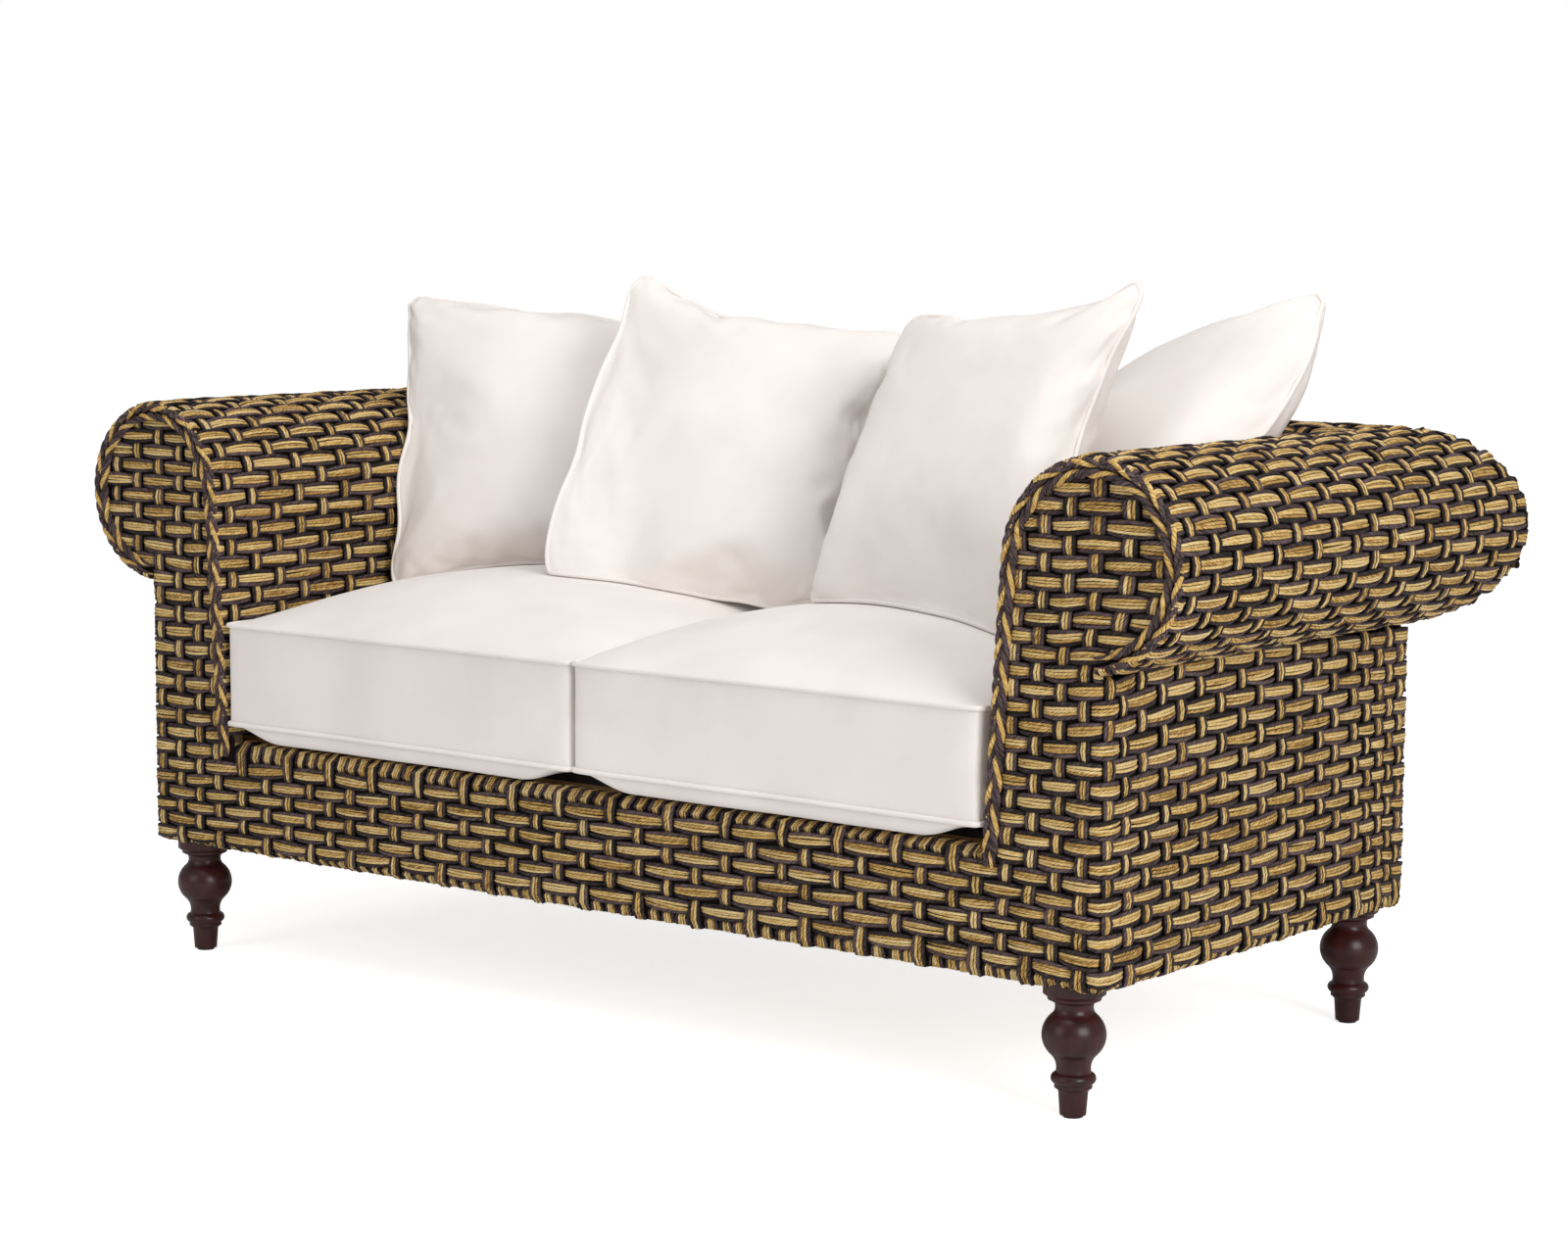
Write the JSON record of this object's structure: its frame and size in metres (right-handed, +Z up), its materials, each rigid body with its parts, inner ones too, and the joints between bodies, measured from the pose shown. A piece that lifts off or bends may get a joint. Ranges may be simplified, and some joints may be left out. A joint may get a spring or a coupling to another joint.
{
  "type": "patio loveseat",
  "caption": "Woven patio loveseat with scroll arms and a matching scroll back on turned wooden legs, with loose box seat cushions that pull forward and loose pillows that lift off.",
  "frame": {"origin": "middle of the overall box, on the floor", "axes": "+Z up, +Y from the front towards the back, +X to the right as seen from the front, along the length"},
  "size_m": [1.864, 0.861, 0.9837],
  "materials": {
    "woven_skin": "matte twisted fibre cord, tan and dark brown",
    "trim_rope": "matte twisted fibre rope, dark brown and tan",
    "stained_wood": "semi-gloss dark stained hardwood",
    "frame_timber": "sawn softwood, unfinished",
    "former_board": "plywood, unfinished",
    "deck_panel": "matte dark panel",
    "steel_fixings": "zinc plated",
    "glide": "moulded black nylon",
    "cushion_cloth": "matte off-white woven canvas"
  },
  "bodies": {
    "frame": {"arm_facing_left": "woven_skin", "arm_facing_right": "woven_skin", "arm_formers_left": "former_board", "arm_formers_right": "former_board", "arm_inner_skin_left": "woven_skin", "arm_inner_skin_right": "woven_skin", "arm_roll_pole_left": "frame_timber", "arm_roll_pole_right": "frame_timber", "arm_roll_skin_left": "woven_skin", "arm_roll_skin_right": "woven_skin", "arm_trim_rope_left": "trim_rope", "arm_trim_rope_right": "trim_rope", "back_formers": "former_board", "back_inner_skin": "woven_skin", "back_outer_skin": "woven_skin", "back_roll_pole": "frame_timber", "back_roll_skin": "woven_skin", "base_rail_front": "frame_timber", "base_rail_rear": "frame_timber", "base_rail_side_left": "frame_timber", "base_rail_side_right": "frame_timber", "centre_rail": "frame_timber", "corner_blocks": "frame_timber", "deck_ledgers": "frame_timber", "front_rail_skin": "woven_skin", "leg_bolts": "steel_fixings", "leg_front_left": "stained_wood", "leg_front_right": "stained_wood", "leg_glides": "glide", "leg_plates": "steel_fixings", "leg_rear_left": "stained_wood", "leg_rear_right": "stained_wood", "seat_deck": "deck_panel", "seat_slats": "frame_timber", "side_skin_left": "woven_skin", "side_skin_right": "woven_skin"},
    "seat_cushion_left": {"seat_cushion_left": "cushion_cloth"},
    "seat_cushion_right": {"seat_cushion_right": "cushion_cloth"},
    "pillow_rear_left": {"pillow_rear_left": "cushion_cloth"},
    "pillow_front_left": {"pillow_front_left": "cushion_cloth"},
    "pillow_rear_right": {"pillow_rear_right": "cushion_cloth"},
    "pillow_front_right": {"pillow_front_right": "cushion_cloth"}
  },
  "joints": [
    {"name": "seat_cushion_left_pull", "type": "slide", "parent": "frame", "child": "seat_cushion_left", "axis": [0, -1, 0], "range_m": [0, 0.3]},
    {"name": "seat_cushion_right_pull", "type": "slide", "parent": "frame", "child": "seat_cushion_right", "axis": [0, -1, 0], "range_m": [0, 0.3]},
    {"name": "pillow_rear_left_lift", "type": "slide", "parent": "frame", "child": "pillow_rear_left", "axis": [0.1445, 0.31, 0.9397], "range_m": [0, 0.3]},
    {"name": "pillow_front_left_lift", "type": "slide", "parent": "frame", "child": "pillow_front_left", "axis": [0, 0.1736, 0.9848], "range_m": [0, 0.3]},
    {"name": "pillow_rear_right_lift", "type": "slide", "parent": "frame", "child": "pillow_rear_right", "axis": [-0.1719, 0.3686, 0.9135], "range_m": [0, 0.3]},
    {"name": "pillow_front_right_lift", "type": "slide", "parent": "frame", "child": "pillow_front_right", "axis": [0, 0.1736, 0.9848], "range_m": [0, 0.3]}
  ]
}
